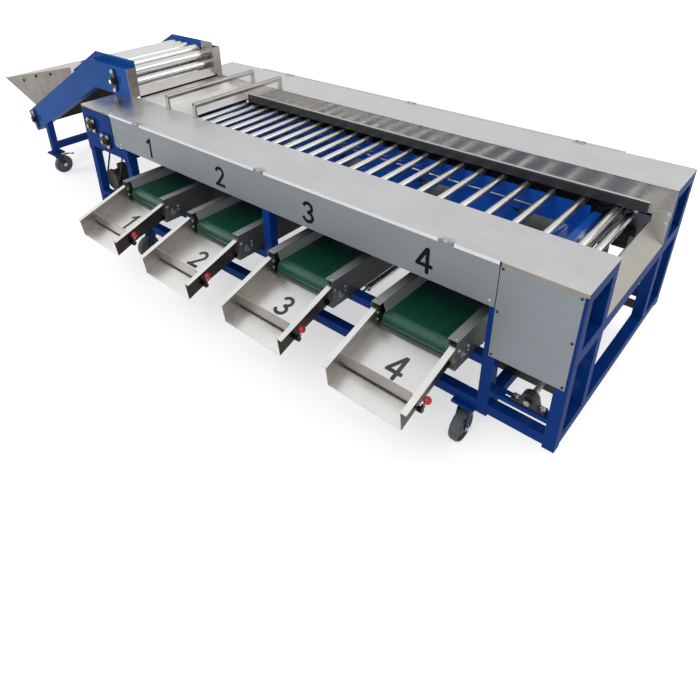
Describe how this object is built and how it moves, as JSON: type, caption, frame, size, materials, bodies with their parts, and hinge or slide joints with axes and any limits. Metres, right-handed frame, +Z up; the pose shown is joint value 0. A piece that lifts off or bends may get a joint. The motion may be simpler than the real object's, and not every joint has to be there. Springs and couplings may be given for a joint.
{
  "type": "fruit grading machine",
  "caption": "Free-standing roller grader: hopper, roller hoist, bed of rollers with widening gaps, cross belts and gated chutes on a wheeled tube frame.",
  "frame": {"origin": "on the floor, under the middle of the whole machine's box", "axes": "+X from the feed hopper to the delivery end, +Y from the chute side to the rear, +Z up"},
  "size_m": [5.299, 1.816, 1.185],
  "materials": {
    "blue_paint": "gloss enamel",
    "cover_steel": "brushed sheet",
    "stainless": "brushed sheet",
    "grey_paint": "satin",
    "black_plastic": "matte",
    "rail_steel": "mill",
    "belt_green": "smooth belt cover",
    "bearing_iron": "painted casting",
    "motor_paint": "satin",
    "v_belt_rubber": "matte",
    "chain_steel": "oiled",
    "zinc_steel": "zinc plated",
    "dark_screw": "blackened",
    "roller_steel": "ground tube",
    "shaft_steel": "turned",
    "gate_steel": "brushed, with a red ball on the lever",
    "wheel_rubber": "matte"
  },
  "bodies": {
    "frame": {"frame_posts": "blue_paint", "frame_rails": "blue_paint", "top_covers": "cover_steel", "drive_box_panels": "grey_paint", "bearing_plates": "blue_paint", "bed_side_walls": "stainless", "guide_strips": "black_plastic", "bed_end_trays": "stainless", "levelling_bars": "stainless", "catch_plates": "blue_paint", "roller_rails": "rail_steel", "conveyor_frames": "stainless", "cross_belts": "belt_green", "chute_trays": "stainless", "flange_bearings": "bearing_iron", "pillow_blocks": "bearing_iron", "gear_motors": "motor_paint", "drive_belt": "v_belt_rubber", "drive_chains": "chain_steel", "hoist_side_boxes": "blue_paint", "hoist_linings": "stainless", "hopper": "stainless", "hoist_stand": "blue_paint", "door_hinges": "zinc_steel", "cover_screws": "dark_screw", "caster_plates": "blue_paint"},
    "roller_run": {"grading_rollers": "roller_steel", "spacing_links": "rail_steel"},
    "return_run": {"return_rollers": "roller_steel"},
    "hoist_slope_run": {"hoist_slope_rollers": "roller_steel"},
    "hoist_top_run": {"hoist_top_rollers": "roller_steel"},
    "front_door": {"front_door": "grey_paint"},
    "rear_door": {"rear_door": "grey_paint"},
    "hoist_head_reel": {"hoist_head_reel": "roller_steel"},
    "hoist_tail_shaft": {"hoist_tail_shaft": "shaft_steel"},
    "hoist_drive_shaft": {"hoist_drive_shaft": "shaft_steel"},
    "jack_shaft": {"jack_shaft": "shaft_steel"},
    "motor_pulley": {"motor_pulley": "motor_paint"},
    "feed_upper_shaft": {"feed_upper_shaft": "shaft_steel"},
    "feed_lower_shaft": {"feed_lower_shaft": "shaft_steel"},
    "delivery_upper_shaft": {"delivery_upper_shaft": "shaft_steel"},
    "delivery_lower_shaft": {"delivery_lower_shaft": "shaft_steel"},
    "belt_drive_shaft": {"belt_drive_shaft": "shaft_steel"},
    "belt_idler_drums": {"belt_idler_drums": "shaft_steel"},
    "gate_1": {"gate_1": "gate_steel"},
    "gate_2": {"gate_2": "gate_steel"},
    "gate_3": {"gate_3": "gate_steel"},
    "gate_4": {"gate_4": "gate_steel"},
    "caster_fork_1": {"caster_fork_1": "zinc_steel"},
    "caster_wheel_1": {"caster_wheel_1": "wheel_rubber"},
    "caster_fork_2": {"caster_fork_2": "zinc_steel"},
    "caster_wheel_2": {"caster_wheel_2": "wheel_rubber"},
    "caster_fork_3": {"caster_fork_3": "zinc_steel"},
    "caster_wheel_3": {"caster_wheel_3": "wheel_rubber"},
    "caster_fork_4": {"caster_fork_4": "zinc_steel"},
    "caster_wheel_4": {"caster_wheel_4": "wheel_rubber"},
    "caster_fork_5": {"caster_fork_5": "zinc_steel"},
    "caster_wheel_5": {"caster_wheel_5": "wheel_rubber"},
    "caster_fork_6": {"caster_fork_6": "zinc_steel"},
    "caster_wheel_6": {"caster_wheel_6": "wheel_rubber"}
  },
  "joints": [
    {"name": "front_door_hinge", "type": "hinge", "parent": "frame", "child": "front_door", "pos_m": [1.0095, -0.443, 0.95], "axis": [-1, 0, 0], "range_deg": [0, 110]},
    {"name": "rear_door_hinge", "type": "hinge", "parent": "frame", "child": "rear_door", "pos_m": [1.0095, 0.869, 0.95], "axis": [1, 0, 0], "range_deg": [0, 110]},
    {"name": "roller_run_travel", "type": "slide", "parent": "frame", "child": "roller_run", "axis": [1, 0, 0], "range_m": [0, 0.024]},
    {"name": "return_run_travel", "type": "slide", "parent": "frame", "child": "return_run", "axis": [-1, 0, 0], "range_m": [0, 0.024]},
    {"name": "hoist_slope_travel", "type": "slide", "parent": "frame", "child": "hoist_slope_run", "axis": [0.891, 0, 0.454], "range_m": [-0.024, 0]},
    {"name": "hoist_top_travel", "type": "slide", "parent": "frame", "child": "hoist_top_run", "axis": [1, 0, 0], "range_m": [-0.024, 0]},
    {"name": "hoist_head_reel_spin", "type": "hinge", "parent": "frame", "child": "hoist_head_reel", "pos_m": [-0.6225, 0.213, 1.044], "axis": [0, 1, 0], "continuous": true},
    {"name": "hoist_tail_shaft_spin", "type": "hinge", "parent": "frame", "child": "hoist_tail_shaft", "pos_m": [-2.05372, 0.213, 0.46783], "axis": [0, 1, 0], "continuous": true},
    {"name": "hoist_drive_shaft_spin", "type": "hinge", "parent": "frame", "child": "hoist_drive_shaft", "pos_m": [-0.5285, 0.213, 0.833], "axis": [0, 1, 0], "continuous": true},
    {"name": "jack_shaft_spin", "type": "hinge", "parent": "frame", "child": "jack_shaft", "pos_m": [-0.3845, 0.213, 0.758], "axis": [0, 1, 0], "continuous": true},
    {"name": "motor_pulley_spin", "type": "hinge", "parent": "frame", "child": "motor_pulley", "pos_m": [-0.5605, 0.213, 0.406], "axis": [0, 1, 0], "continuous": true},
    {"name": "feed_upper_shaft_spin", "type": "hinge", "parent": "frame", "child": "feed_upper_shaft", "pos_m": [-0.1955, 0.213, 0.724], "axis": [0, 1, 0], "continuous": true},
    {"name": "feed_lower_shaft_spin", "type": "hinge", "parent": "frame", "child": "feed_lower_shaft", "pos_m": [-0.4015, 0.213, 0.3725], "axis": [0, 1, 0], "continuous": true},
    {"name": "delivery_upper_shaft_spin", "type": "hinge", "parent": "frame", "child": "delivery_upper_shaft", "pos_m": [2.4245, 0.213, 0.724], "axis": [0, 1, 0], "continuous": true},
    {"name": "delivery_lower_shaft_spin", "type": "hinge", "parent": "frame", "child": "delivery_lower_shaft", "pos_m": [2.5135, 0.213, 0.3725], "axis": [0, 1, 0], "continuous": true},
    {"name": "belt_drive_shaft_spin", "type": "hinge", "parent": "frame", "child": "belt_drive_shaft", "pos_m": [1.1175, 0.791, 0.538], "axis": [1, 0, 0], "continuous": true},
    {"name": "belt_idler_drums_spin", "type": "hinge", "parent": "frame", "child": "belt_idler_drums", "pos_m": [1.1175, -0.522, 0.538], "axis": [1, 0, 0], "continuous": true},
    {"name": "gate_1_swing", "type": "hinge", "parent": "frame", "child": "gate_1", "pos_m": [0.1755, -0.803, 0.44835], "axis": [1, 0, 0], "range_deg": [0, 75]},
    {"name": "gate_2_swing", "type": "hinge", "parent": "frame", "child": "gate_2", "pos_m": [0.8035, -0.803, 0.44835], "axis": [1, 0, 0], "range_deg": [0, 75]},
    {"name": "gate_3_swing", "type": "hinge", "parent": "frame", "child": "gate_3", "pos_m": [1.4315, -0.803, 0.44835], "axis": [1, 0, 0], "range_deg": [0, 75]},
    {"name": "gate_4_swing", "type": "hinge", "parent": "frame", "child": "gate_4", "pos_m": [2.0595, -0.803, 0.44835], "axis": [1, 0, 0], "range_deg": [0, 75]},
    {"name": "caster_swivel_1", "type": "hinge", "parent": "frame", "child": "caster_fork_1", "pos_m": [-0.11, -0.407, 0.18], "axis": [0, 0, 1], "continuous": true},
    {"name": "caster_spin_1", "type": "hinge", "parent": "caster_fork_1", "child": "caster_wheel_1", "pos_m": [-0.11, -0.447, 0.075], "axis": [1, 0, 0], "continuous": true},
    {"name": "caster_swivel_2", "type": "hinge", "parent": "frame", "child": "caster_fork_2", "pos_m": [2.254, -0.407, 0.18], "axis": [0, 0, 1], "continuous": true},
    {"name": "caster_spin_2", "type": "hinge", "parent": "caster_fork_2", "child": "caster_wheel_2", "pos_m": [2.254, -0.447, 0.075], "axis": [1, 0, 0], "continuous": true},
    {"name": "caster_swivel_3", "type": "hinge", "parent": "frame", "child": "caster_fork_3", "pos_m": [-0.11, 0.833, 0.18], "axis": [0, 0, 1], "continuous": true},
    {"name": "caster_spin_3", "type": "hinge", "parent": "caster_fork_3", "child": "caster_wheel_3", "pos_m": [-0.11, 0.793, 0.075], "axis": [1, 0, 0], "continuous": true},
    {"name": "caster_swivel_4", "type": "hinge", "parent": "frame", "child": "caster_fork_4", "pos_m": [2.254, 0.833, 0.18], "axis": [0, 0, 1], "continuous": true},
    {"name": "caster_spin_4", "type": "hinge", "parent": "caster_fork_4", "child": "caster_wheel_4", "pos_m": [2.254, 0.793, 0.075], "axis": [1, 0, 0], "continuous": true},
    {"name": "caster_swivel_5", "type": "hinge", "parent": "frame", "child": "caster_fork_5", "pos_m": [-1.8795, -0.152, 0.18], "axis": [0, 0, 1], "continuous": true},
    {"name": "caster_spin_5", "type": "hinge", "parent": "caster_fork_5", "child": "caster_wheel_5", "pos_m": [-1.8795, -0.112, 0.075], "axis": [1, 0, 0], "continuous": true},
    {"name": "caster_swivel_6", "type": "hinge", "parent": "frame", "child": "caster_fork_6", "pos_m": [-1.8795, 0.578, 0.18], "axis": [0, 0, 1], "continuous": true},
    {"name": "caster_spin_6", "type": "hinge", "parent": "caster_fork_6", "child": "caster_wheel_6", "pos_m": [-1.8795, 0.538, 0.075], "axis": [1, 0, 0], "continuous": true}
  ],
  "couplings": [
    {"joint": "return_run_travel", "follows": "roller_run_travel", "ratio": 1},
    {"joint": "hoist_top_travel", "follows": "hoist_slope_travel", "ratio": 1},
    {"joint": "hoist_tail_shaft_spin", "follows": "hoist_head_reel_spin", "ratio": 1.2121},
    {"joint": "hoist_drive_shaft_spin", "follows": "hoist_head_reel_spin", "ratio": 1},
    {"joint": "jack_shaft_spin", "follows": "hoist_head_reel_spin", "ratio": 1},
    {"joint": "motor_pulley_spin", "follows": "hoist_head_reel_spin", "ratio": 1},
    {"joint": "feed_upper_shaft_spin", "follows": "hoist_head_reel_spin", "ratio": 1},
    {"joint": "feed_lower_shaft_spin", "follows": "hoist_head_reel_spin", "ratio": 1},
    {"joint": "delivery_upper_shaft_spin", "follows": "hoist_head_reel_spin", "ratio": 1},
    {"joint": "delivery_lower_shaft_spin", "follows": "hoist_head_reel_spin", "ratio": 1},
    {"joint": "belt_idler_drums_spin", "follows": "belt_drive_shaft_spin", "ratio": 1}
  ]
}
